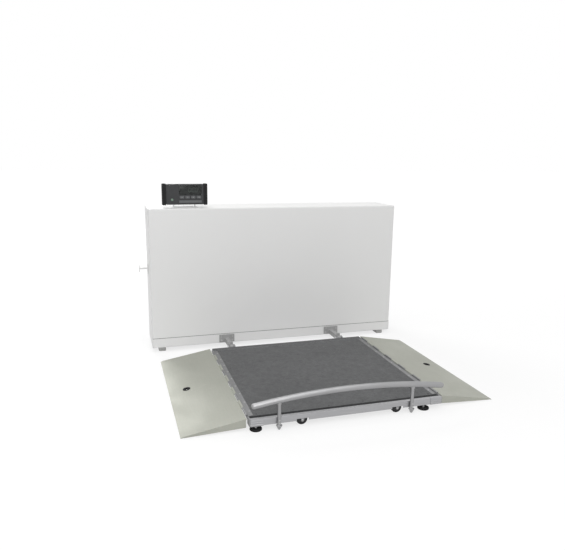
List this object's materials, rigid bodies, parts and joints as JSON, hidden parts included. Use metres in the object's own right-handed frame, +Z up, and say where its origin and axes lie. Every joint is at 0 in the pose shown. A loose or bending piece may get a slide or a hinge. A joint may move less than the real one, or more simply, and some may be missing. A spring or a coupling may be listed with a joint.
{
  "type": "wheelchair scale",
  "caption": "Fold-away wheelchair scale: low platform with two folding ramps and an arched rail, hinged to a flat wall cabinet with a tilting readout.",
  "frame": {"origin": "on the floor, under the middle of the bounding box of the whole scale with its platform down", "axes": "+X along the platform from the left ramp to the right one, +Y from the platform to the cabinet and the wall, +Z up"},
  "size_m": [1.3854, 1.236, 0.8585],
  "materials": {
    "white_coat": "satin",
    "grey_coat": "satin",
    "aluminium": "satin",
    "ramp_metal": "satin",
    "steel": "satin",
    "rail_steel": "satin",
    "dark_deck": "anti-slip, matt",
    "rubber": "matt",
    "dark_plastic": "fine texture",
    "grey_plastic": "fine texture",
    "light_plastic": "fine texture",
    "smoked_glass": "gloss",
    "board_green": "matt",
    "green_key": "satin"
  },
  "bodies": {
    "cabinet": {"cabinet_cover": "white_coat", "cabinet_back_panel": "white_coat", "base_tray": "white_coat", "base_rail_front": "white_coat", "base_rail_back": "white_coat", "cover_frame": "grey_coat", "cabinet_foot_left": "rubber", "cabinet_foot_right": "rubber", "hinge_bracket_left": "grey_coat", "hinge_bracket_right": "grey_coat", "hinge_pin_left": "steel", "hinge_pin_right": "steel", "cord_cleat": "light_plastic", "power_inlet": "dark_plastic", "power_supply": "grey_coat", "readout_bracket": "dark_plastic", "tilt_rod": "steel"},
    "readout": {"readout_back_shell": "dark_plastic", "readout_front_bezel": "dark_plastic", "readout_end_cap_left": "rubber", "readout_end_cap_right": "rubber", "display_window": "smoked_glass", "display_module": "grey_plastic", "circuit_board": "board_green", "label_strip": "grey_plastic"},
    "power_button": {"power_key": "green_key"},
    "units_button": {"units_key": "grey_plastic"},
    "zero_button": {"zero_key": "grey_plastic"},
    "hold_button": {"hold_key": "grey_plastic"},
    "recall_button": {"recall_key": "grey_plastic"},
    "platform": {"deck_plate": "dark_deck", "near_beam": "aluminium", "far_beam": "aluminium", "beam_end_cap_left": "light_plastic", "beam_end_cap_right": "light_plastic", "side_beam_left": "aluminium", "side_beam_right": "aluminium", "deck_ribs": "aluminium", "junction_box": "grey_plastic", "load_cell_near_left": "aluminium", "load_cell_near_right": "aluminium", "load_cell_far_left": "aluminium", "load_cell_far_right": "aluminium", "foot_near_left": "rubber", "foot_near_right": "rubber", "foot_far_left": "rubber", "foot_far_right": "rubber", "grab_rail": "rail_steel", "rail_post_left": "rail_steel", "rail_post_right": "rail_steel", "wheel_fork_left": "light_plastic", "wheel_fork_right": "light_plastic", "wheel_axle_left": "steel", "wheel_axle_right": "steel"},
    "left_wheel": {"wheel_left": "rubber"},
    "right_wheel": {"wheel_right": "rubber"},
    "left_ramp_flap": {"left_ramp": "ramp_metal", "left_finger_grommet": "rubber"},
    "right_ramp_flap": {"right_ramp": "ramp_metal", "right_finger_grommet": "rubber"}
  },
  "joints": [
    {"name": "platform_fold", "type": "hinge", "parent": "cabinet", "child": "platform", "pos_m": [0.03435, 0.253, 0.04], "axis": [-1, 0, 0], "range_deg": [0, 92]},
    {"name": "left_ramp_fold", "type": "hinge", "parent": "platform", "child": "left_ramp_flap", "pos_m": [-0.37065, -0.177, 0.0495], "axis": [0, 1, 0], "range_deg": [0, 189.5]},
    {"name": "right_ramp_fold", "type": "hinge", "parent": "platform", "child": "right_ramp_flap", "pos_m": [0.43935, -0.177, 0.0495], "axis": [0, -1, 0], "range_deg": [0, 189.5]},
    {"name": "left_wheel_spin", "type": "hinge", "parent": "platform", "child": "left_wheel", "pos_m": [-0.16115, -0.582, 0.0225], "axis": [0, 1, 0], "continuous": true},
    {"name": "right_wheel_spin", "type": "hinge", "parent": "platform", "child": "right_wheel", "pos_m": [0.23835, -0.582, 0.0225], "axis": [0, 1, 0], "continuous": true},
    {"name": "readout_tilt", "type": "hinge", "parent": "cabinet", "child": "readout", "pos_m": [-0.45665, 0.48, 0.765], "axis": [-1, 0, 0], "range_deg": [-5, 15]},
    {"name": "power_key_press", "type": "slide", "parent": "readout", "child": "power_button", "axis": [0, 1, 0], "range_m": [0, 0.0012], "stiffness_N_per_m": 800, "springref_m": -0.0005},
    {"name": "units_key_press", "type": "slide", "parent": "readout", "child": "units_button", "axis": [0, 1, 0], "range_m": [0, 0.0012], "stiffness_N_per_m": 800, "springref_m": -0.0005},
    {"name": "zero_key_press", "type": "slide", "parent": "readout", "child": "zero_button", "axis": [0, 1, 0], "range_m": [0, 0.0012], "stiffness_N_per_m": 800, "springref_m": -0.0005},
    {"name": "hold_key_press", "type": "slide", "parent": "readout", "child": "hold_button", "axis": [0, 1, 0], "range_m": [0, 0.0012], "stiffness_N_per_m": 800, "springref_m": -0.0005},
    {"name": "recall_key_press", "type": "slide", "parent": "readout", "child": "recall_button", "axis": [0, 1, 0], "range_m": [0, 0.0012], "stiffness_N_per_m": 800, "springref_m": -0.0005}
  ]
}
